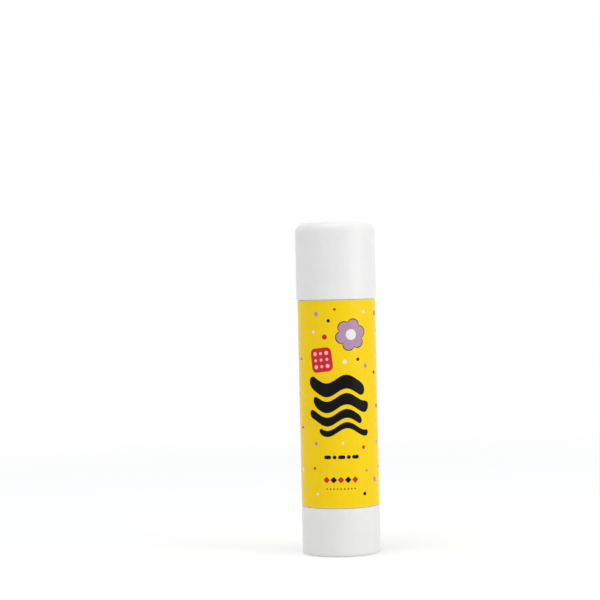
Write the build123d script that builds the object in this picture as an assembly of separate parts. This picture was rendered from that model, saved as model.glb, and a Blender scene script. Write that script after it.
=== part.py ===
"""Twist-up glue stick: a capped plastic barrel whose base knob winds the glue up on a feed screw.

The stick stands on its knob. Z runs up its axis from the surface that it stands on, and its front faces -Y.
From the outside in it is a pull-off cap, a printed film label, an outer sleeve, an inner tube that
carries the neck, the stick of glue on its carrier, and the feed screw that is pressed into the knob.
All sizes are in millimetres.
"""

import os
from math import ceil, degrees

from build123d import *

# Outside sizes, from the bottom up
body_radius = 12.75
knob_height = 15.7
knob_gap = 0.15
sleeve_length = 67.0
cap_gap = 0.1
cap_length = 25.05
cap_proud = 0.3

# Walls
sleeve_wall = 1.05
tube_wall = 1.15

# Fits, as the gap on each side
press_fit = 0.02
knob_fit = 0.12
cap_fit = 0.25
journal_fit = 0.08
thrust_gap = 0.1
feed_fit = 0.15
thread_fit = 0.2
cast_fit = 0.05

# Feed screw, a left-hand thread, so that turning the knob clockwise seen from below lifts the glue
thread_lead = 7.0
feed_turns = 9.5
thread_root_radius = 2.4
thread_crest_radius = 3.5
ridge_root_width = 2.1
ridge_crest_width = 1.1
end_engagement = 5.0

# One overrun for every cut and every piece that is sunk into its neighbour before fusing
overrun = 0.4

# Radii that follow from the outside, the walls and the fits
sleeve_bore = body_radius - sleeve_wall
tube_radius = sleeve_bore - press_fit
tube_bore = tube_radius - tube_wall
feed_radius = tube_bore - feed_fit

# Heights that follow from the outside sizes
sleeve_bottom = knob_height + knob_gap
sleeve_top = sleeve_bottom + sleeve_length
cap_bottom = sleeve_top + cap_gap
cap_top = cap_bottom + cap_length

# Cap
cap_roof = 1.3
cap_taper = 0.06
cap_headroom = 3.2
cap_edge_round = 3.0
cap_corner_bevel = 1.0
cap_rim_bevel = 0.1
cap_lead_in = 0.3
seal_overlap = 1.2
seal_wall = 0.8
seal_gap = 0.2
seal_bevel = 0.25
gate_radius = 1.4
gate_depth = 0.25
cap_radius = body_radius + cap_proud
cap_bore = tube_radius + cap_fit
roof_underside = cap_top - cap_roof

# Inner tube
skirt_step = 0.4
skirt_wall = 1.0
skirt_length = 6.5
skirt_bevel = 0.3
floor_sink = 0.4
floor_thickness = 1.4
band_step = 0.35
band_height = 2.0
mouth_bevel = 0.3
bead_rise = 3.0
bead_height = 1.2
bead_flat_share = 1 / 3
bead_fit = 0.06
rib_count = 4
rib_width = 1.4
rib_height = 0.7
rib_slope = 1.5
rib_stop = 12.0
mouth = roof_underside - cap_headroom
skirt_radius = tube_radius - skirt_step
tube_bottom = sleeve_bottom - skirt_length
floor_top = sleeve_bottom - floor_sink
floor_underside = floor_top - floor_thickness
band_radius = tube_radius + band_step
band_top = sleeve_bottom + band_height
rib_radius = tube_bore - rib_height
rib_top = mouth - rib_stop

# Label
label_recess = 0.1
label_thickness = 0.08
label_shoulder = 0.12
sleeve_bevel = 0.05
label_lap = 2.5
lap_direction = 75.0
label_seat = body_radius - label_recess

# Spindle, which is the feed screw with its journal, flange, snap ring and hexagonal stub
journal_radius = 4.1
flange_radius = 6.0
flange_thickness = 1.2
snap_bite = 0.3
snap_height = 0.8
stub_flats = 5.6
stub_length = 8.0
stub_chamfer = 0.5
tip_length = 1.5
tip_inset = 0.9
bearing_hole = journal_radius + journal_fit
flange_bottom = floor_top + thrust_gap
flange_top = flange_bottom + flange_thickness
snap_top = floor_underside - thrust_gap
snap_bottom = snap_top - snap_height

# Knob
foot_height = 0.8
foot_width = 2.9
foot_bevel = 0.25
knob_floor = 1.4
knob_edge_round = 1.1
knob_rim_bevel = 0.1
knob_web_count = 4
knob_web_width = 1.0
knob_web_gap = 1.2
hub_radius = 5.0
hub_gap = 0.1
socket_gap = 0.3
knob_bore = skirt_radius + knob_fit
knob_floor_top = foot_height + knob_floor
hub_top = snap_bottom - hub_gap

# Carrier, which is the travelling nut with the cup that holds the glue
carrier_gap = 0.5
nut_length = 12.0
nut_radius = 5.4
plate_thickness = 1.4
cup_depth = 5.0
cup_wall = 1.2
wiper_height = 0.6
wiper_gap = 0.05
carrier_web_width = 0.9
carrier_web_rise = 1.5
key_count = 2
key_hole_radius = 1.3
carrier_bottom = flange_top + carrier_gap
plate_top = carrier_bottom + nut_length
plate_bottom = plate_top - plate_thickness
cup_top = plate_top + cup_depth
cup_bore = feed_radius - cup_wall
nut_bore = thread_crest_radius + thread_fit
key_hole_circle = (nut_radius + cup_bore) / 2

# Glue
glue_headroom = 0.8
glue_edge_bevel = 0.4
glue_dish = 0.35
glue_dish_margin = 1.2
glue_tip_gap = 0.6
glue_top = mouth - seal_overlap - glue_headroom

# Travel and the heights of the screw that follow from it
feed_travel = thread_lead * feed_turns
thread_bottom = flange_top + ridge_root_width / 2
thread_top = carrier_bottom + feed_travel + end_engagement
spindle_top = thread_top + ridge_root_width / 2 + tip_length


def turned(outline, rounds=(), bevels=()):
    """Solid turned about Z from (radius, height) points, with the listed corners rounded or bevelled."""
    face = make_face(Polyline(*outline, close=True))
    for soften, corners in ((fillet, rounds), (chamfer, bevels)):
        for corner, size in corners:
            face = soften(face.vertices().sort_by_distance(Vector(*corner))[0], size)
    return revolve(Plane.XZ * face, Axis.Z)


def column(radius, bottom, top):
    """Round bar about Z between two heights."""
    return Pos(0, 0, bottom) * Cylinder(radius, top - bottom, align=(Align.CENTER, Align.CENTER, Align.MIN))


def fins(count, inner, outer, width, bottom, top):
    """Flat radial fins, evenly spaced, the first along +X."""
    fin = Pos(inner, 0, bottom) * Box(outer - inner, width, top - bottom, align=(Align.MIN, Align.CENTER, Align.MIN))
    return [Rot(0, 0, 360 / count * i) * fin for i in range(count)]


def hexagon(across_flats, bottom, top):
    """Six-sided bar about Z between two heights."""
    face = RegularPolygon(across_flats / 2, 6, major_radius=False)
    return Pos(0, 0, bottom) * extrude(face, top - bottom)


def ridge_width(radius):
    """Axial width of the screw's ridge at a radius, on its straight flanks."""
    share = (radius - thread_root_radius) / (thread_crest_radius - thread_root_radius)
    return ridge_root_width + (ridge_crest_width - ridge_root_width) * share


def helical_ridge(near, near_width, far, far_width, bottom, top):
    """Left-hand ridge wound about Z between two heights of its centre line.

    The section reaches from the radius near, where it is near_width wide, to the radius far.
    """
    path = Pos(0, 0, bottom) * Helix(thread_lead, top - bottom, near, lefthand=True)
    corners = [
        (near, bottom - near_width / 2),
        (far, bottom - far_width / 2),
        (far, bottom + far_width / 2),
        (near, bottom + near_width / 2),
    ]
    section = Plane.XZ * make_face(Polyline(*corners, close=True))
    return sweep(section, path=path, is_frenet=True)


def make_knob():
    """Base knob: a cup with a foot ring below, and a hub with a hexagonal socket for the screw."""
    foot_bore = body_radius - foot_width
    outline = [
        (0, foot_height),
        (foot_bore, foot_height),
        (foot_bore, 0),
        (body_radius, 0),
        (body_radius, knob_height),
        (knob_bore, knob_height),
        (knob_bore, knob_floor_top),
        (0, knob_floor_top),
    ]
    bevels = [(outline[2], foot_bevel), (outline[4], knob_rim_bevel), (outline[5], knob_rim_bevel)]
    web_top = tube_bottom - knob_web_gap
    wall_middle = (knob_bore + body_radius) / 2
    webs = fins(knob_web_count, 0, wall_middle, knob_web_width, knob_floor_top - overrun, web_top)
    hub = column(hub_radius, knob_floor_top - overrun, hub_top)
    socket_bottom = snap_bottom - stub_length - socket_gap
    socket = hexagon(stub_flats + 2 * press_fit, socket_bottom, hub_top + overrun)
    gate = column(gate_radius, foot_height - overrun, foot_height + gate_depth)
    return turned(outline, [(outline[3], knob_edge_round)], bevels) + webs + hub - socket - gate


def make_spindle():
    """Feed screw: stub, snap ring, journal and thrust flange, then a helical ridge on a core."""
    snap_radius = bearing_hole + snap_bite
    tip_bottom = spindle_top - tip_length
    outline = [
        (0, snap_bottom),
        (journal_radius, snap_bottom),
        (snap_radius, snap_top),
        (journal_radius, snap_top),
        (journal_radius, flange_bottom),
        (flange_radius, flange_bottom),
        (flange_radius, flange_top),
        (thread_root_radius, flange_top),
        (thread_root_radius, tip_bottom),
        (thread_root_radius - tip_inset, spindle_top),
        (0, spindle_top),
    ]
    stub = hexagon(stub_flats, snap_bottom - stub_length, snap_bottom + overrun)
    stub = chamfer(stub.faces().sort_by(Axis.Z)[0].edges(), stub_chamfer)
    sunk = thread_root_radius - overrun
    ridge = helical_ridge(
        sunk, ridge_width(sunk), thread_crest_radius, ridge_crest_width, thread_bottom, thread_top
    )
    return turned(outline) + stub + ridge


def make_inner_tube():
    """Inner tube: the neck and bore, four guide ribs, a floor with the screw's bearing, and a skirt."""
    skirt_bore = skirt_radius - skirt_wall
    outline = [
        (skirt_bore, tube_bottom),
        (skirt_radius, tube_bottom),
        (skirt_radius, sleeve_bottom),
        (band_radius, sleeve_bottom),
        (band_radius, band_top),
        (tube_radius, band_top),
        (tube_radius, mouth),
        (tube_bore, mouth),
        (tube_bore, floor_top),
        (bearing_hole, floor_top),
        (bearing_hole, floor_underside),
        (skirt_bore, floor_underside),
    ]
    bevels = [(outline[1], skirt_bevel), (outline[6], mouth_bevel), (outline[7], mouth_bevel)]
    bead_middle = sleeve_top + bead_rise
    bead_reach = tube_radius + cap_fit - bead_fit
    bead_flat = bead_height * bead_flat_share
    bead = turned(
        [
            (tube_radius - overrun, bead_middle - bead_height / 2),
            (tube_radius, bead_middle - bead_height / 2),
            (bead_reach, bead_middle - bead_flat / 2),
            (bead_reach, bead_middle + bead_flat / 2),
            (tube_radius, bead_middle + bead_height / 2),
            (tube_radius - overrun, bead_middle + bead_height / 2),
        ]
    )
    rib_outline = [
        (tube_bore + overrun, floor_top - overrun),
        (rib_radius, floor_top - overrun),
        (rib_radius, rib_top - rib_slope),
        (tube_bore, rib_top),
        (tube_bore + overrun, rib_top),
    ]
    rib = extrude(Plane.XZ * make_face(Polyline(*rib_outline, close=True)), rib_width / 2, both=True)
    ribs = [Rot(0, 0, 360 / rib_count * i) * rib for i in range(rib_count)]
    return turned(outline, bevels=bevels) + bead + ribs


def make_outer_sleeve():
    """Outer sleeve, pressed over the tube down to its band, with a shallow seat for the label."""
    band_seat = band_radius + press_fit
    outline = [
        (band_seat, sleeve_bottom),
        (body_radius, sleeve_bottom),
        (body_radius, sleeve_bottom + label_shoulder),
        (label_seat, sleeve_bottom + label_shoulder),
        (label_seat, sleeve_top - label_shoulder),
        (body_radius, sleeve_top - label_shoulder),
        (body_radius, sleeve_top),
        (sleeve_bore, sleeve_top),
        (sleeve_bore, band_top),
        (band_seat, band_top),
    ]
    return turned(outline, bevels=[(outline[1], sleeve_bevel), (outline[6], sleeve_bevel)])


def make_label():
    """Film label in the sleeve's seat, lapped over itself at the back."""
    bottom = sleeve_bottom + label_shoulder
    top = sleeve_top - label_shoulder
    film_radius = label_seat + label_thickness
    lap_angle = degrees(label_lap / film_radius)
    seat = column(label_seat, bottom - overrun, top + overrun)
    lap_face = make_face(
        Polyline(
            (film_radius - label_thickness / 2, bottom),
            (film_radius + label_thickness, bottom),
            (film_radius + label_thickness, top),
            (film_radius - label_thickness / 2, top),
            close=True,
        )
    )
    lap = Rot(0, 0, lap_direction) * revolve(Plane.XZ * lap_face, Axis.Z, lap_angle)
    return column(film_radius, bottom, top) - seat + lap


def make_cap():
    """Pull-off cap with a slight taper, and inside its roof a ring that seals in the mouth of the tube."""
    seal_radius = tube_bore - seal_gap
    seal_bottom = mouth - seal_overlap
    outline = [
        (cap_bore, cap_bottom),
        (cap_radius, cap_bottom),
        (cap_radius - cap_taper, cap_top),
        (0, cap_top),
        (0, roof_underside),
        (seal_radius - seal_wall, roof_underside),
        (seal_radius - seal_wall, seal_bottom),
        (seal_radius, seal_bottom),
        (seal_radius, roof_underside),
        (cap_bore - cap_taper, roof_underside),
    ]
    bevels = [
        (outline[0], cap_lead_in),
        (outline[1], cap_rim_bevel),
        (outline[6], seal_bevel),
        (outline[7], seal_bevel),
        (outline[9], cap_corner_bevel),
    ]
    gate = column(gate_radius, cap_top - gate_depth, cap_top + overrun)
    return turned(outline, [(outline[2], cap_edge_round)], bevels) - gate


def make_carrier():
    """Carrier: a threaded collar, a plate with holes that key the glue, and a cup notched for the ribs."""
    wiper_radius = tube_bore - wiper_gap
    outline = [
        (cup_bore, carrier_bottom),
        (feed_radius, carrier_bottom),
        (feed_radius, cup_top - 2 * wiper_height),
        (wiper_radius, cup_top - wiper_height),
        (wiper_radius, cup_top),
        (cup_bore, cup_top),
    ]
    plate = column(cup_bore + overrun, plate_bottom, plate_top)
    collar = column(nut_radius, carrier_bottom, plate_top)
    web_bottom = carrier_bottom + carrier_web_rise
    webs = fins(rib_count, 0, cup_bore + overrun, carrier_web_width, web_bottom, plate_bottom + overrun)
    holes = keys(key_hole_radius, plate_bottom - overrun, plate_top + overrun)
    notches = rib_clearances(carrier_bottom - overrun, cup_top + overrun)
    bore = column(nut_bore, carrier_bottom - overrun, plate_top + overrun)
    body = turned(outline) + plate + collar + webs - holes - notches - bore
    sunk = nut_bore + overrun
    tip = thread_root_radius + thread_fit
    half_width = nut_ridge_width(sunk) / 2
    steps = ceil((carrier_bottom + half_width - thread_bottom) / thread_lead - 1 / 2)
    nut_thread_bottom = thread_bottom + thread_lead * (steps + 1 / 2)
    nut_thread_top = plate_top - half_width
    ridge = helical_ridge(
        sunk, nut_ridge_width(sunk), tip, nut_ridge_width(tip), nut_thread_bottom, nut_thread_top
    )
    return body + ridge


def nut_ridge_width(radius):
    """Axial width of the nut's ridge at a radius: the screw's groove less the fit on both flanks."""
    return thread_lead - ridge_width(radius) - 2 * thread_fit


def keys(radius, bottom, top):
    """Round bars between the carrier's webs: the holes in its plate, or the glue cast through them."""
    bar = Pos(key_hole_circle, 0, 0) * column(radius, bottom, top)
    first = 360 / rib_count / 2
    return [Rot(0, 0, first + 360 / key_count * i) * bar for i in range(key_count)]


def rib_clearances(bottom, top):
    """Slots that clear the tube's guide ribs, to cut from what slides past them."""
    slot_width = rib_width + 2 * feed_fit
    return fins(rib_count, rib_radius - feed_fit, tube_radius, slot_width, bottom, top)


def make_glue():
    """Stick of glue, cast on the carrier: grooved by the guide ribs, bored for the screw, dished on top."""
    foot_radius = cup_bore - cast_fit
    outline = [
        (0, plate_top + cast_fit),
        (foot_radius, plate_top + cast_fit),
        (foot_radius, cup_top + cast_fit),
        (feed_radius, cup_top + cast_fit),
        (feed_radius, glue_top),
        (0, glue_top),
    ]
    stick = turned(outline, bevels=[(outline[4], glue_edge_bevel)])
    dish_reach = feed_radius - glue_dish_margin
    dish_radius = (dish_reach**2 + glue_dish**2) / (2 * glue_dish)
    dish = Pos(0, 0, glue_top - glue_dish + dish_radius) * Sphere(dish_radius)
    grooves = rib_clearances(cup_top, rib_top + feed_fit)
    bore = column(nut_bore, plate_top - overrun, spindle_top + glue_tip_gap)
    pegs = keys(key_hole_radius - cast_fit, plate_bottom, plate_top + overrun)
    return stick + pegs - dish - grooves - bore


pieces = {
    "knob": make_knob,
    "spindle": make_spindle,
    "inner_tube": make_inner_tube,
    "outer_sleeve": make_outer_sleeve,
    "label": make_label,
    "cap": make_cap,
    "carrier": make_carrier,
    "glue": make_glue,
}

os.makedirs("parts", exist_ok=True)
for name, make in pieces.items():
    export_step(make(), f"parts/{name}.step")
print(f"travel {feed_travel:.2f} mm in {feed_turns:g} turns, overall height {cap_top:.2f} mm")
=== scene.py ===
"""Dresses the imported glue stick: plastics, film label with a generic print, glue, studio and camera.

Lengths of the stick and its print are in millimetres, in the frame's own axes, and MM turns them into metres.
Lengths of the studio, and those inside a material, are in metres. Angles are in degrees.
"""

import math
import random

import bpy
from mathutils import Matrix, Vector


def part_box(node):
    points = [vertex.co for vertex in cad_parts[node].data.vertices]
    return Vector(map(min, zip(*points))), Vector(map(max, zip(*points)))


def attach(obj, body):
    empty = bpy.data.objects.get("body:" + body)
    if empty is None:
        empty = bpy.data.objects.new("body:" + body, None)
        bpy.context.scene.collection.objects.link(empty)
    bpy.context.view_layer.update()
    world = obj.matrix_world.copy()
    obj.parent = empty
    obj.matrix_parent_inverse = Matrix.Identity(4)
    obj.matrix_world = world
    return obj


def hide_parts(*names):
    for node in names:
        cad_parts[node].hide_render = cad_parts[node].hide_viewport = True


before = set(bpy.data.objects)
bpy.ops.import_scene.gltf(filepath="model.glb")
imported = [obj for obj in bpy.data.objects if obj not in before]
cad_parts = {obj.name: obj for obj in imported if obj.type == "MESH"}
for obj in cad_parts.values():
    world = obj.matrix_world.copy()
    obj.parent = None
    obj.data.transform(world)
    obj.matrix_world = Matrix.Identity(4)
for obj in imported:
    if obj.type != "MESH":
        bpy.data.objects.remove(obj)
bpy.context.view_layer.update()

MM = 0.001

# Edges sharper than this angle stay sharp on the pieces made here
SHARP_EDGE = 32

# The label film, measured on its CAD solid, whose front is a single layer. Its lap starts at an angle from +X,
# at the back, and climbs to its full height over another angle
label_low, label_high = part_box("label")
LABEL_RADIUS = -label_low[1] / MM
LABEL_BOTTOM = label_low[2] / MM
LABEL_TOP = label_high[2] / MM
FILM = 0.08
FILM_SEGMENTS = 480
FILM_ROWS = 24
LAP_START = 75.0
LAP_WIDTH = 2.5
LAP_CLIMB = 1.5

# The lap's unprinted margin, and how far it stays inside the lap's end and the film's two edges
LAP_MARGIN = 0.35
LAP_MARGIN_INSET = 0.04
LAP_MARGIN_HEIGHT_INSET = 0.05

# Depth of the gate dimples, and height of the knob's underside over its foot
GATE_DEPTH = 0.25
FOOT_HEIGHT = 0.8

# What is left of a moulding gate: radius, and height over the floor of its dimple
NUB_PROFILE = ((0, -0.06), (0.62, -0.06), (0.6, 0.04), (0.5, 0.1), (0.42, 0.14), (0.22, 0.15), (0, 0.12))
NUB_SEGMENTS = 28
NUB_RAGGED_ABOVE = 0.08
NUB_STRETCH = (0.95, 1.05)
NUB_RISE = (-0.025, 0.02)

# Shells of ink: height over the film, one step more for each level, and depth in it
INK_LIFT = 0.012
INK_STEP = 0.010
INK_SINK = 0.03

# Fineness of the print: lengths between points and between rings of faces, and numbers of points
OUTLINE_STEP = 0.3
RING_STEP = 0.45
FEWEST_RINGS = 2
DISC_POINTS = 40
SPECK_POINTS = 28
SMALL_DOT_POINTS = 20
CORNER_STEPS = 10
FLOWER_POINTS = 180
BAND_STEPS = 120

# The power that rounds a flower's petals, and half the height that is left at the ends of a band
PETAL_POWER = 0.55
BAND_END = 0.01


# Meshes


def make_object(name, vertices, faces, body, material):
    """Smooth mesh object that rides on a CAD body."""
    mesh = bpy.data.meshes.new(name)
    mesh.from_pydata([(x * MM, y * MM, z * MM) for x, y, z in vertices], [], faces)
    mesh.validate()
    mesh.update()
    mesh.polygons.foreach_set("use_smooth", [True] * len(mesh.polygons))
    mesh.set_sharp_from_angle(angle=math.radians(SHARP_EDGE))
    piece = bpy.data.objects.new(name, mesh)
    bpy.context.scene.collection.objects.link(piece)
    piece.data.materials.append(material)
    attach(piece, body)
    return piece


def lathe(profile, segments, radius_shift=None):
    """Vertices and faces of (radius, height) points turned about Z.

    A point on the axis becomes a pole. A profile that doesn't start with one is closed, from its last point
    back to its first. radius_shift gives the length to add to a radius at an angle from +X.
    """
    vertices, rings = [], []
    for radius, z in profile:
        first = len(vertices)
        for i in range(segments if radius else 1):
            a = 2 * math.pi * i / segments
            r = radius + (radius_shift(radius, math.degrees(a)) if radius_shift else 0.0)
            vertices.append((r * math.cos(a), r * math.sin(a), z))
        rings.append(range(first, len(vertices)))
    pairs = list(zip(rings, rings[1:]))
    if len(rings[0]) > 1:
        pairs.append((rings[-1], rings[0]))
    faces = [face for low, high in pairs for face in faces_between(low, high, segments)]
    return vertices, faces


def faces_between(low, high, segments):
    """Faces between two rings of vertex numbers, of which one may be a pole."""
    faces = []
    for i in range(segments):
        j = (i + 1) % segments
        if len(low) == 1:
            faces.append((low[0], high[j], high[i]))
        elif len(high) == 1:
            faces.append((low[i], low[j], high[0]))
        else:
            faces.append((low[i], low[j], high[j], high[i]))
    return faces


# Shells of ink, drawn flat on the film: s is to the right of the front line, z is up


def resampled(outline):
    """The same closed outline with no two neighbouring points further apart than the outline's step."""
    points = []
    for (x0, y0), (x1, y1) in zip(outline, outline[1:] + outline[:1]):
        count = max(1, math.ceil(math.hypot(x1 - x0, y1 - y0) / OUTLINE_STEP))
        points += [(x0 + (x1 - x0) * i / count, y0 + (y1 - y0) * i / count) for i in range(count)]
    return points


def full_turn(count):
    """Angles in radians, evenly spaced round a circle."""
    return [2 * math.pi * i / count for i in range(count)]


class Print:
    """Collects the shapes of one ink, each a closed thin shell wrapped on the label."""

    def __init__(self, level, film_below=0.0):
        self.outer = LABEL_RADIUS + INK_LIFT + INK_STEP * level + film_below
        self.inner = LABEL_RADIUS - INK_SINK + film_below
        self.vertices = []
        self.faces = []

    def wrap(self, s, z, radius):
        """Point in space for a place on the film."""
        a = s / LABEL_RADIUS
        return (radius * math.sin(a), -radius * math.cos(a), z)

    def strip(self, stations):
        """Adds the shape given as (s, low z, high z) stations from left to right."""
        first = len(self.vertices)
        for s, low, high in stations:
            section = [(low, self.outer), (high, self.outer), (high, self.inner), (low, self.inner)]
            self.vertices += [self.wrap(s, z, radius) for z, radius in section]
        corners = len(section)
        last = len(self.vertices) - corners
        for start in range(first, last, corners):
            for k in range(corners):
                a, b = start + k, start + (k + 1) % corners
                self.faces.append((a, a + corners, b + corners, b))
        self.faces.append(tuple(range(first, first + corners)))
        self.faces.append(tuple(reversed(range(last, last + corners))))

    def patch(self, centre, outline):
        """Adds a star-shaped outline round a centre, as a polar grid of faces that follows the film."""
        outline = resampled(outline)
        reach = max(math.hypot(s, z) for s, z in outline)
        rings = max(FEWEST_RINGS, math.ceil(reach / RING_STEP))
        outer_rim = self.patch_side(centre, outline, rings, self.outer, facing_out=True)
        inner_rim = self.patch_side(centre, outline, rings, self.inner, facing_out=False)
        for i in range(len(outline)):
            j = (i + 1) % len(outline)
            self.faces.append((outer_rim + i, inner_rim + i, inner_rim + j, outer_rim + j))

    def patch_side(self, centre, outline, rings, radius, facing_out):
        """Adds the outer or inner side of a patch, and gives the number of the first vertex on its rim."""
        cs, cz = centre
        n = len(outline)
        middle = len(self.vertices)
        self.vertices.append(self.wrap(cs, cz, radius))
        for k in range(1, rings + 1):
            self.vertices += [self.wrap(cs + s * k / rings, cz + z * k / rings, radius) for s, z in outline]
        innermost = middle + 1
        rim = innermost + (rings - 1) * n
        for i in range(n):
            j = (i + 1) % n
            faces = [(middle, innermost + i, innermost + j)]
            faces += [(a + i, a + n + i, a + n + j, a + j) for a in range(innermost, rim, n)]
            self.faces += faces if facing_out else [face[::-1] for face in faces]
        return rim

    def disc(self, s, z, radius, points=DISC_POINTS):
        """Adds a round dot."""
        self.patch((s, z), [(radius * math.cos(a), radius * math.sin(a)) for a in full_turn(points)])

    def rounded(self, s, z, width, height, corner, angle=0.0):
        """Adds a rectangle with round corners, turned by an angle."""
        t = math.radians(angle)
        outline = []
        for side, end, start in ((1, 1, 0), (-1, 1, 90), (-1, -1, 180), (1, -1, 270)):
            for i in range(CORNER_STEPS + 1):
                a = math.radians(start + 90 * i / CORNER_STEPS)
                x = side * (width / 2 - corner) + corner * math.cos(a)
                y = end * (height / 2 - corner) + corner * math.sin(a)
                outline.append((x * math.cos(t) - y * math.sin(t), x * math.sin(t) + y * math.cos(t)))
        self.patch((s, z), outline)

    def flower(self, s, z, radius, petals, depth_share, turn, rim=0.0):
        """Adds a flower with round petals, cut in by a share of its radius, and wider by a rim."""
        outline = []
        for a in full_turn(FLOWER_POINTS):
            wave = abs(math.cos(petals * (a - math.radians(turn)) / 2)) ** PETAL_POWER
            r = radius * (1 - depth_share + depth_share * wave) + rim
            outline.append((r * math.cos(a), r * math.sin(a)))
        self.patch((s, z), outline)

    def band(self, start, end, middle, thickness, swing, length, phase):
        """Adds a wavy band with round ends. The phase of its waves is in radians."""
        stations = []
        for i in range(BAND_STEPS + 1):
            share = 0.5 - 0.5 * math.cos(math.pi * i / BAND_STEPS)
            s = start + (end - start) * share
            near = min(s - start, end - s)
            half = thickness / 2
            if near < half:
                half = math.sqrt(max(half**2 - (half - near) ** 2, 0.0)) + BAND_END
            centre = middle + swing * math.sin(2 * math.pi * s / length + phase)
            stations.append((s, centre - half, centre + half))
        self.strip(stations)

    def finish(self, name, material):
        """Makes one object of all shapes of this ink."""
        return make_object(name, self.vertices, self.faces, "barrel", material)


# Materials


class Nodes:
    """One procedural material, built on object coordinates."""

    # Sockets of a Mix node that mixes colours
    COLOUR_A, COLOUR_B, COLOUR_RESULT = 6, 7, 2

    def __init__(self, name, **constants):
        self.material = bpy.data.materials.new(name)
        self.material.use_nodes = True
        self.tree = self.material.node_tree
        self.tree.nodes.clear()
        out = self.tree.nodes.new("ShaderNodeOutputMaterial")
        self.shader = add_node(self.tree, "ShaderNodeBsdfPrincipled", **constants)
        self.tree.links.new(self.shader.outputs["BSDF"], out.inputs["Surface"])
        self.place = self.tree.nodes.new("ShaderNodeTexCoord").outputs["Object"]

    def link(self, value, socket):
        """Feeds a socket from another node, or sets it to a plain value."""
        if isinstance(value, bpy.types.NodeSocket):
            self.tree.links.new(value, socket)
        else:
            socket.default_value = value

    def noise(self, scale, detail, roughness=0.5, stretch=(1, 1, 1), distortion=0.0):
        """Noise from 0 to 1, with a scale in features per metre and a stretch along each axis."""
        mapping = add_node(self.tree, "ShaderNodeMapping", Scale=stretch)
        self.tree.links.new(self.place, mapping.inputs["Vector"])
        look = {"Scale": scale, "Detail": detail, "Roughness": roughness, "Distortion": distortion}
        node = add_node(self.tree, "ShaderNodeTexNoise", **look)
        self.tree.links.new(mapping.outputs["Vector"], node.inputs["Vector"])
        return node.outputs["Fac"]

    def cells(self, scale):
        """Distance to the nearest of a scatter of points."""
        node = add_node(self.tree, "ShaderNodeTexVoronoi", Scale=scale)
        self.tree.links.new(self.place, node.inputs["Vector"])
        return node.outputs["Distance"]

    def ramp(self, value, low, high, to_low=0.0, to_high=1.0):
        """Value from low to high, spread over another range and held at its ends."""
        ends = {"From_Min": low, "From_Max": high, "To_Min": to_low, "To_Max": to_high}
        node = add_node(self.tree, "ShaderNodeMapRange", **ends)
        self.tree.links.new(value, node.inputs["Value"])
        return node.outputs["Result"]

    def math(self, operation, a, b):
        """Sum or product of two values."""
        node = self.tree.nodes.new("ShaderNodeMath")
        node.operation = operation
        self.link(a, node.inputs[0])
        self.link(b, node.inputs[1])
        return node.outputs[0]

    def blend(self, a, b, share):
        """The value a by its share, and b by the rest."""
        return self.math("ADD", self.math("MULTIPLY", a, share), self.math("MULTIPLY", b, 1 - share))

    def mix(self, factor, a, b):
        """Colour a where the factor is 0 and b where it is 1."""
        node = self.tree.nodes.new("ShaderNodeMix")
        node.data_type = "RGBA"
        self.link(factor, node.inputs[0])
        node.inputs[self.COLOUR_A].default_value = (*a, 1)
        node.inputs[self.COLOUR_B].default_value = (*b, 1)
        return node.outputs[self.COLOUR_RESULT]

    def bump(self, height, distance, strength=1.0, below=None):
        """Normal of a surface raised by a height from 0 to 1, on top of the bump below."""
        node = add_node(self.tree, "ShaderNodeBump", Distance=distance, Strength=strength)
        self.tree.links.new(height, node.inputs["Height"])
        if below is not None:
            self.tree.links.new(below, node.inputs["Normal"])
        return node.outputs["Normal"]

    def set(self, socket, value):
        """Feeds or sets a socket of the shader."""
        self.link(value, self.shader.inputs[socket])


def add_node(tree, kind, **inputs):
    """New node with the named sockets set, where an underscore stands for a space."""
    node = tree.nodes.new(kind)
    for socket, value in inputs.items():
        node.inputs[socket.replace("_", " ")].default_value = value
    return node


def plastic(name, light, dark, milky=0.12):
    """Moulded polypropylene: faint flow streaks, pigment mottle, sink marks, fine grain and rubbed marks."""
    m = Nodes(
        name, IOR=1.49, Subsurface_Weight=milky, Subsurface_Scale=0.0012, Subsurface_Radius=(1.0, 0.95, 0.9)
    )
    mottle = m.noise(scale=180, detail=4, roughness=0.55)
    flow = m.noise(scale=900, detail=3, roughness=0.6, stretch=(1, 1, 0.07), distortion=0.3)
    shade = m.blend(mottle, flow, share=0.6)
    m.set("Base Color", m.mix(m.ramp(shade, low=0.35, high=0.65), dark, light))

    rub = m.ramp(m.noise(scale=2600, detail=2, stretch=(1, 1, 0.12), distortion=0.6), low=0.60, high=0.68)
    patches = m.ramp(m.noise(scale=70, detail=2), low=0.48, high=0.62)
    worn = m.math("MULTIPLY", rub, patches)
    satin = m.ramp(m.noise(scale=420, detail=4, roughness=0.6), low=0.3, high=0.7, to_low=0.30, to_high=0.42)
    scuffs = m.math("MULTIPLY", worn, 0.12)
    m.set("Roughness", m.math("ADD", satin, scuffs))

    sink = m.bump(m.noise(scale=110, detail=2, roughness=0.4), distance=0.04 * MM)
    grain = m.bump(m.noise(scale=5200, detail=3, roughness=0.6), distance=0.004 * MM, below=sink)
    m.set("Normal", m.bump(worn, distance=0.003 * MM, strength=0.6, below=grain))
    return m.material


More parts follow.
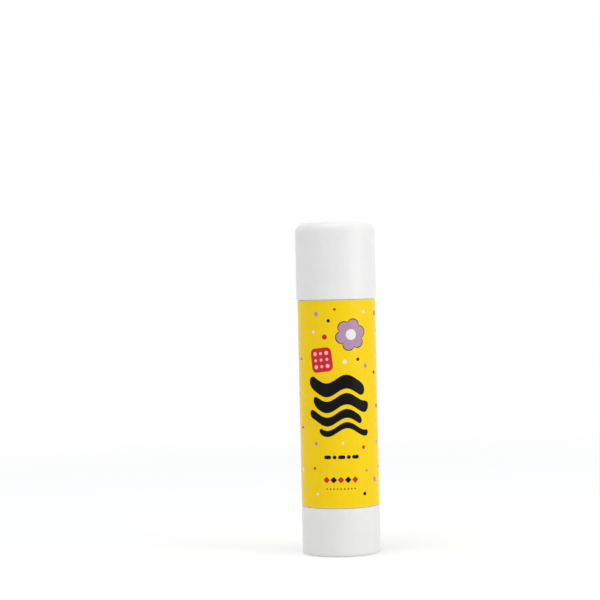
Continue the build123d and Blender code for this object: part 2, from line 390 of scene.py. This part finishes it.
def film(name, light, dark, specular=0.10):
    """Printed film: ink that varies a little, wrapped ripples, orange peel and a glossy varnish."""
    m = Nodes(
        name, IOR=1.47, Specular_IOR_Level=specular, Coat_Weight=0.06, Coat_Roughness=0.14, Coat_IOR=1.45
    )
    density = m.noise(scale=240, detail=5, roughness=0.6)
    streak = m.noise(scale=1400, detail=2, stretch=(1, 1, 0.03))
    shade = m.blend(density, streak, share=0.65)
    m.set("Base Color", m.mix(m.ramp(shade, low=0.32, high=0.68), dark, light))

    rub = m.ramp(m.noise(scale=3000, detail=2, stretch=(1, 1, 0.2), distortion=0.8), low=0.62, high=0.70)
    varnish = m.ramp(m.noise(scale=500, detail=3), low=0.3, high=0.7, to_low=0.22, to_high=0.32)
    scuffs = m.math("MULTIPLY", rub, 0.1)
    m.set("Roughness", m.math("ADD", varnish, scuffs))

    ripple = m.bump(m.noise(scale=90, detail=2, stretch=(1, 1, 0.35)), distance=0.006 * MM)
    m.set("Normal", m.bump(m.noise(scale=2200, detail=3), distance=0.0007 * MM, below=ripple))
    return m.material


def waxy(name, light, dark):
    """Glue: waxy, with casting swirls, smears and a few tiny bubbles."""
    m = Nodes(
        name, IOR=1.46, Subsurface_Weight=0.35, Subsurface_Scale=0.003, Subsurface_Radius=(1.0, 0.93, 0.8)
    )
    swirl = m.noise(scale=160, detail=5, roughness=0.6, stretch=(1, 1, 0.5), distortion=1.6)
    m.set("Base Color", m.mix(m.ramp(swirl, low=0.3, high=0.7), dark, light))

    smear = m.noise(scale=700, detail=4, roughness=0.6, stretch=(1, 1, 0.4), distortion=0.5)
    m.set("Roughness", m.ramp(smear, low=0.3, high=0.7, to_low=0.28, to_high=0.5))

    lumps = m.noise(scale=260, detail=4, roughness=0.55, stretch=(1, 1, 0.6), distortion=0.8)
    soft = m.bump(lumps, distance=0.05 * MM)
    bubbles = m.ramp(m.cells(scale=900), low=0.0, high=0.16)
    m.set("Normal", m.bump(bubbles, distance=0.02 * MM, strength=0.5, below=soft))
    return m.material


# A light and a dark shade of each material's colour, between which it varies
CAP_WHITE = ((0.81, 0.81, 0.794), (0.78, 0.78, 0.764))
WHITE = ((0.80, 0.80, 0.785), (0.77, 0.77, 0.755))
TUBE_WHITE = ((0.76, 0.765, 0.76), (0.72, 0.728, 0.725))
NATURAL = ((0.70, 0.71, 0.70), (0.64, 0.655, 0.65))
GLUE_WHITE = ((0.875, 0.865, 0.81), (0.80, 0.785, 0.72))
YELLOW = ((0.93, 0.645, 0.005), (0.895, 0.61, 0.004))
BLACK = ((0.003, 0.0025, 0.0025), (0.002, 0.002, 0.002))
RED = ((0.64, 0.022, 0.028), (0.56, 0.016, 0.022))
MAUVE = ((0.47, 0.29, 0.43), (0.42, 0.25, 0.39))
INK_WHITE = ((0.82, 0.82, 0.81), (0.77, 0.77, 0.76))
PINK = ((0.84, 0.50, 0.50), (0.78, 0.44, 0.45))

cap_plastic = plastic("cap plastic", *CAP_WHITE)
knob_plastic = plastic("knob plastic", *WHITE)
sleeve_plastic = plastic("sleeve plastic", *WHITE)
tube_plastic = plastic("tube plastic", *TUBE_WHITE, milky=0.2)
carrier_plastic = plastic("carrier plastic", *NATURAL, milky=0.3)
spindle_plastic = plastic("spindle plastic", *NATURAL, milky=0.3)
glue_wax = waxy("glue wax", *GLUE_WHITE)
yellow_film = film("label film", *YELLOW)
black_ink = film("black ink", *BLACK, specular=0.08)
red_ink = film("red ink", *RED)
mauve_ink = film("mauve ink", *MAUVE)
white_ink = film("white ink", *INK_WHITE)
pink_ink = film("pink ink", *PINK)

for node, material in {
    "cap": cap_plastic,
    "knob": knob_plastic,
    "outer_sleeve": sleeve_plastic,
    "inner_tube": tube_plastic,
    "carrier": carrier_plastic,
    "spindle": spindle_plastic,
    "glue": glue_wax,
    "label": yellow_film,
}.items():
    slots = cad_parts[node].data.materials
    for i in range(len(slots)):
        slots[i] = material


# Label film


def lap_shift(radius, azimuth):
    """Length that the film's outer end adds at an angle, where it climbs onto the inner end at the back."""
    if radius < LABEL_RADIUS - FILM / 2:
        return 0.0
    width = math.degrees(LAP_WIDTH / LABEL_RADIUS)
    along = azimuth - LAP_START
    if along < 0 or along > width:
        return 0.0
    return FILM * min(along / LAP_CLIMB, 1.0)


def label_profile():
    """Section of the film, from the top of its inner side down and then up its outer side."""
    inner = LABEL_RADIUS - FILM
    row = (LABEL_TOP - LABEL_BOTTOM) / FILM_ROWS
    outer = [(LABEL_RADIUS, LABEL_BOTTOM + row * i) for i in range(FILM_ROWS + 1)]
    return [(inner, LABEL_TOP), (inner, LABEL_BOTTOM), *outer]


film_mesh = lathe(label_profile(), FILM_SEGMENTS, lap_shift)
film_piece = make_object("label_film", *film_mesh, "barrel", yellow_film)
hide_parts("label")


# Gate vestiges


def gate_vestige(name, body, material, floor, up):
    """Small broken-off nub of the moulding gate, which stands up or down on the floor of a dimple."""
    ragged = random.Random(name)
    vertices, faces = lathe([(radius, floor + up * height) for radius, height in NUB_PROFILE], NUB_SEGMENTS)
    for i, (x, y, z) in enumerate(vertices):
        if (z - floor) * up > NUB_RAGGED_ABOVE:
            x *= ragged.uniform(*NUB_STRETCH)
            y *= ragged.uniform(*NUB_STRETCH)
            vertices[i] = (x, y, z + up * ragged.uniform(*NUB_RISE))
    if up < 0:
        faces = [face[::-1] for face in faces]
    piece = make_object(name, vertices, faces, body, material)


gate_vestige("cap_gate", "cap", cap_plastic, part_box("cap")[1][2] / MM - GATE_DEPTH, 1)
gate_vestige("knob_gate", "knob", knob_plastic, FOOT_HEIGHT + GATE_DEPTH, -1)


# Label print. Where a table has no names, its columns are those of the loop that reads it

BANDS = (
    (-10.4, 8.9, 55.2, 4.5),
    (-8.9, 10.5, 49.7, 3.7),
    (-10.4, 7.6, 45.0, 2.9),
    (-6.8, 10.1, 41.2, 2.0),
)
BAND_WAVES = {"swing": 1.35, "length": 13.0, "phase": 0.4}

FLOWER = {"s": 4.3, "z": 71.6, "radius": 5.0, "petals": 6, "depth_share": 0.30, "turn": 15}
FLOWER_RIM = 0.28
FLOWER_EYE = 1.75

TILE = {"s": -5.7, "z": 63.6, "width": 7.4, "height": 7.8, "corner": 1.7, "angle": 6}
TILE_COLUMN = 2.0
TILE_ROW = 2.1
TILE_SKEW = 0.2
TILE_DOT = 0.5
TILE_CORNER_DOT = 0.66

DASHES = {"places": (-4.2, 0.4, 5.0), "z": 32.3, "width": 2.3, "height": 1.2, "corner": 0.55}
DASH_DOTS = {"places": (-1.9, 2.7), "radius": 0.62}
LOZENGES = {"count": 5, "start": -4.7, "pitch": 2.35, "z": 25.0, "side": 1.55, "corner": 0.2, "angle": 45}
DOT_ROW = {"count": 9, "start": -4.6, "pitch": 1.15, "z": 22.1, "radius": 0.24}

FRONT_SPECKS = (
    (-7.2, 78.4, 0.75, "mauve"),
    (-3.0, 76.2, 0.55, "black"),
    (-8.4, 72.6, 0.50, "white"),
    (-4.4, 71.0, 0.85, "red"),
    (9.3, 79.0, 0.50, "white"),
    (-0.9, 79.8, 0.45, "red"),
    (2.0, 62.9, 0.70, "white"),
    (6.6, 63.6, 0.55, "black"),
    (9.6, 61.4, 0.65, "mauve"),
    (-8.2, 36.6, 0.60, "mauve"),
    (0.9, 36.8, 0.45, "white"),
    (8.1, 35.2, 0.60, "red"),
    (-9.0, 28.6, 0.50, "red"),
    (9.2, 27.6, 0.50, "mauve"),
    (-8.0, 20.4, 0.45, "white"),
    (8.2, 20.2, 0.60, "black"),
)

# Confetti on the sides and the back, clear of the front, of the label's edges and of each other
CONFETTI_COUNT = 46
CONFETTI_SEED = 7
CONFETTI_INKS = ("mauve", "black", "white", "red")
CONFETTI_REACH = (-35.0, 34.0)
CONFETTI_FRONT = 13.0
CONFETTI_EDGE = 3
CONFETTI_SPACING = 5.0
CONFETTI_SIZE = (0.45, 0.9)
CONFETTI_DISC_SHARE = 0.5
BIT_WIDTH_SHARE = 2.6
BIT_HEIGHT_SHARE = 0.9
BIT_CORNER_SHARE = 0.4


def draw_picture(inks):
    """The bands, the flower and the tile of dots."""
    for start, end, middle, thickness in BANDS:
        inks["black"].band(start, end, middle, thickness, **BAND_WAVES)
    inks["black"].flower(**FLOWER, rim=FLOWER_RIM)
    inks["mauve"].flower(**FLOWER)
    inks["white_top"].disc(FLOWER["s"], FLOWER["z"], FLOWER_EYE)
    inks["red"].rounded(**TILE)
    for row in (-1, 0, 1):
        for column in (-1, 0, 1):
            s = TILE["s"] + TILE_COLUMN * column - TILE_SKEW * row
            z = TILE["z"] + TILE_ROW * row + TILE_SKEW * column
            inks["pink"].disc(s, z, TILE_CORNER_DOT if row * column else TILE_DOT, SPECK_POINTS)


def draw_rows(inks):
    """The rows of dashes, lozenges and dots in the label's lower part."""
    for s in DASHES["places"]:
        inks["black"].rounded(s, DASHES["z"], DASHES["width"], DASHES["height"], DASHES["corner"])
    for s in DASH_DOTS["places"]:
        inks["black"].disc(s, DASHES["z"], DASH_DOTS["radius"])
    side, corner, angle = (LOZENGES[key] for key in ("side", "corner", "angle"))
    for k in range(LOZENGES["count"]):
        s = LOZENGES["start"] + LOZENGES["pitch"] * k
        inks["black" if k % 2 else "red"].rounded(s, LOZENGES["z"], side, side, corner, angle)
    for k in range(DOT_ROW["count"]):
        s = DOT_ROW["start"] + DOT_ROW["pitch"] * k
        inks["black"].disc(s, DOT_ROW["z"], DOT_ROW["radius"], SMALL_DOT_POINTS)


def draw_confetti(inks):
    """The specks in chosen places on the front, and then the scattered confetti."""
    for s, z, radius, ink in FRONT_SPECKS:
        inks[ink].disc(s, z, radius, SPECK_POINTS)
    chance = random.Random(CONFETTI_SEED)
    placed = []
    while len(placed) < CONFETTI_COUNT:
        s = chance.uniform(*CONFETTI_REACH)
        z = chance.uniform(LABEL_BOTTOM + CONFETTI_EDGE, LABEL_TOP - CONFETTI_EDGE)
        crowded = any(math.hypot(s - a, z - b) < CONFETTI_SPACING for a, b in placed)
        if abs(s) < CONFETTI_FRONT or crowded:
            continue
        placed.append((s, z))
        ink = inks[chance.choice(CONFETTI_INKS)]
        size = chance.uniform(*CONFETTI_SIZE)
        if chance.random() < CONFETTI_DISC_SHARE:
            ink.disc(s, z, size, SPECK_POINTS)
        else:
            width, height, corner = (size * k for k in (BIT_WIDTH_SHARE, BIT_HEIGHT_SHARE, BIT_CORNER_SHARE))
            ink.rounded(s, z, width, height, corner, chance.uniform(0, 180))


def draw_lap_margin(ink):
    """The unprinted edge of the film's outer end, on the lap at the back."""
    lap_end = (math.radians(LAP_START + 90) * LABEL_RADIUS) + LAP_WIDTH
    low, high = LABEL_BOTTOM + LAP_MARGIN_HEIGHT_INSET, LABEL_TOP - LAP_MARGIN_HEIGHT_INSET
    ink.strip([(s, low, high) for s in (lap_end - LAP_MARGIN, lap_end - LAP_MARGIN_INSET)])


prints = {
    "black": Print(0),
    "red": Print(1),
    "mauve": Print(2),
    "white": Print(1),
    "white_top": Print(3),
    "pink": Print(2),
}
draw_picture(prints)
draw_rows(prints)
draw_confetti(prints)
lap_margin = Print(0, film_below=FILM)
draw_lap_margin(lap_margin)

lap_margin.finish("lap_margin", white_ink)
prints["black"].finish("print_black", black_ink)
prints["red"].finish("print_red", red_ink)
prints["mauve"].finish("print_mauve", mauve_ink)
prints["white"].finish("print_white", white_ink)
prints["white_top"].finish("print_white_top", white_ink)
prints["pink"].finish("print_pink", pink_ink)


# Stage and light, in metres and watts

LAMP_TARGET = (0, 0, 0.055)
LAMPS = (
    ("key", (0.75, -0.42, 0.3), 0.6, 2.65),
    ("front_left", (-0.6, -0.75, 0.36), 0.6, 0.6),
    ("top", (-0.14, -0.12, 0.9), 0.5, 2.15),
)
WORLD_LIGHT = (0.97, 0.985, 1.0, 1)
WORLD_STRENGTH = 0.72
SEEN_WHITE = (1, 1, 1, 1)
SEEN_STRENGTH = 1.0

FLOOR_SIDES = 96
FLOOR_HOLE = 0.0121
FLOOR_REACH = 3.0
FLOOR_DROP = 0.00002
FLOOR_COLOUR = (0.8, 0.8, 0.8, 1)
FLOOR_LIFT = 0.2
FLOOR_FADE = (0.15, 0.5)


def make_lamp(name, place, size, watts):
    """Square area lamp turned to the middle of the stick, not shown to the camera itself."""
    data = bpy.data.lights.new(name, "AREA")
    data.shape = "SQUARE"
    data.size = size
    data.energy = watts
    lamp = bpy.data.objects.new(name, data)
    lamp.location = place
    lamp.rotation_mode = "QUATERNION"
    lamp.rotation_quaternion = (Vector(LAMP_TARGET) - lamp.location).to_track_quat("-Z", "Y")
    lamp.visible_camera = False
    bpy.context.scene.collection.objects.link(lamp)


def seen_directly(tree):
    """1 for the rays that show the background itself, 0 for those that light the object."""
    path = tree.nodes.new("ShaderNodeLightPath")
    value = path.outputs["Is Camera Ray"]
    for name in ("Is Glossy Ray", "Is Transmission Ray"):
        node = tree.nodes.new("ShaderNodeMath")
        node.operation = "MAXIMUM"
        tree.links.new(value, node.inputs[0])
        tree.links.new(path.outputs[name], node.inputs[1])
        value = node.outputs[0]
    return value


def mix_shaders(tree, factor, a, b):
    """Shader a where the factor is 0 and b where it is 1."""
    mix = tree.nodes.new("ShaderNodeMixShader")
    tree.links.new(factor, mix.inputs["Fac"])
    tree.links.new(a.outputs[0], mix.inputs[1])
    tree.links.new(b.outputs[0], mix.inputs[2])
    return mix


def make_world():
    """Even light from all round, and a white background."""
    world = bpy.data.worlds.new("studio")
    bpy.context.scene.world = world
    world.use_nodes = True
    tree = world.node_tree
    tree.nodes.clear()
    light = add_node(tree, "ShaderNodeBackground", Color=WORLD_LIGHT, Strength=WORLD_STRENGTH)
    seen = add_node(tree, "ShaderNodeBackground", Color=SEEN_WHITE, Strength=SEEN_STRENGTH)
    mix = mix_shaders(tree, seen_directly(tree), light, seen)
    out = tree.nodes.new("ShaderNodeOutputWorld")
    tree.links.new(mix.outputs["Shader"], out.inputs["Surface"])


def floor_mesh():
    """Flat ring round a hole under the stick's foot ring."""
    turn = full_turn(FLOOR_SIDES)
    vertices = [(r * math.cos(a), r * math.sin(a), 0) for r in (FLOOR_HOLE, FLOOR_REACH) for a in turn]
    faces = []
    for i in range(FLOOR_SIDES):
        j = (i + 1) % FLOOR_SIDES
        faces.append((i, i + FLOOR_SIDES, j + FLOOR_SIDES, j))
    mesh = bpy.data.meshes.new("floor")
    mesh.from_pydata(vertices, [], faces)
    return mesh


def lifted(tree, shader, factor):
    """The shader with a little light of its own, where the factor is 1."""
    scale = tree.nodes.new("ShaderNodeMath")
    scale.operation = "MULTIPLY"
    scale.inputs[1].default_value = FLOOR_LIFT
    tree.links.new(factor, scale.inputs[0])
    glow = tree.nodes.new("ShaderNodeEmission")
    tree.links.new(scale.outputs[0], glow.inputs["Strength"])
    both = tree.nodes.new("ShaderNodeAddShader")
    tree.links.new(shader.outputs[0], both.inputs[0])
    tree.links.new(glow.outputs[0], both.inputs[1])
    return both


def far_away(tree):
    """0 near the stick, rising to 1 where the floor fades into the background."""
    place = tree.nodes.new("ShaderNodeTexCoord")
    distance = tree.nodes.new("ShaderNodeVectorMath")
    distance.operation = "LENGTH"
    tree.links.new(place.outputs["Object"], distance.inputs[0])
    start, end = FLOOR_FADE
    fade = add_node(tree, "ShaderNodeMapRange", From_Min=start, From_Max=end)
    fade.interpolation_type = "SMOOTHSTEP"
    tree.links.new(distance.outputs["Value"], fade.inputs["Value"])
    return fade.outputs["Result"]


def floor_material():
    """Pale and a little lifted near the stick, white as the background further off, and clear from below."""
    material = bpy.data.materials.new("floor")
    material.use_nodes = True
    tree = material.node_tree
    tree.nodes.clear()
    seen = seen_directly(tree)
    pale = add_node(tree, "ShaderNodeBsdfDiffuse", Color=FLOOR_COLOUR)
    near = lifted(tree, pale, seen)
    far = mix_shaders(tree, seen, pale, add_node(tree, "ShaderNodeEmission", Strength=SEEN_STRENGTH))
    above = mix_shaders(tree, far_away(tree), near, far)
    below = tree.nodes.new("ShaderNodeBsdfTransparent")
    geometry = tree.nodes.new("ShaderNodeNewGeometry")
    whole = mix_shaders(tree, geometry.outputs["Backfacing"], above, below)
    out = tree.nodes.new("ShaderNodeOutputMaterial")
    tree.links.new(whole.outputs["Shader"], out.inputs["Surface"])
    return material


def make_floor():
    """Pale floor that reads white where nothing shades it, and that a view from below looks through."""
    mesh = floor_mesh()
    mesh.materials.append(floor_material())
    floor = bpy.data.objects.new("floor", mesh)
    floor.location.z = -FLOOR_DROP
    bpy.context.scene.collection.objects.link(floor)


make_world()
make_floor()
for name, place, size, watts in LAMPS:
    make_lamp(name, place, size, watts)


# Camera, fitted to the stick's edges in the photograph: place and lens in millimetres, clip range in metres

LENS = 109.9
SENSOR_WIDTH = 36.0
CLIP = (0.05, 10.0)
CAMERA_PLACE = (-11.86, -600.0, 88.6)
CAMERA_DIP = 0.54
CAMERA_ROLL = -1.28


def make_camera():
    """Camera that looks along +Y and a little down, rolled so that the stick leans as in the photograph."""
    data = bpy.data.cameras.new("camera")
    data.sensor_width = SENSOR_WIDTH
    data.lens = LENS
    data.clip_start, data.clip_end = CLIP
    camera = bpy.data.objects.new("camera", data)
    bpy.context.scene.collection.objects.link(camera)
    place = Matrix.Translation([length * MM for length in CAMERA_PLACE])
    pitch = Matrix.Rotation(math.radians(90 - CAMERA_DIP), 4, "X")
    roll = Matrix.Rotation(math.radians(CAMERA_ROLL), 4, "Z")
    camera.matrix_world = place @ pitch @ roll
    bpy.context.scene.camera = camera


make_camera()
bpy.context.scene.view_settings.view_transform = "Standard"
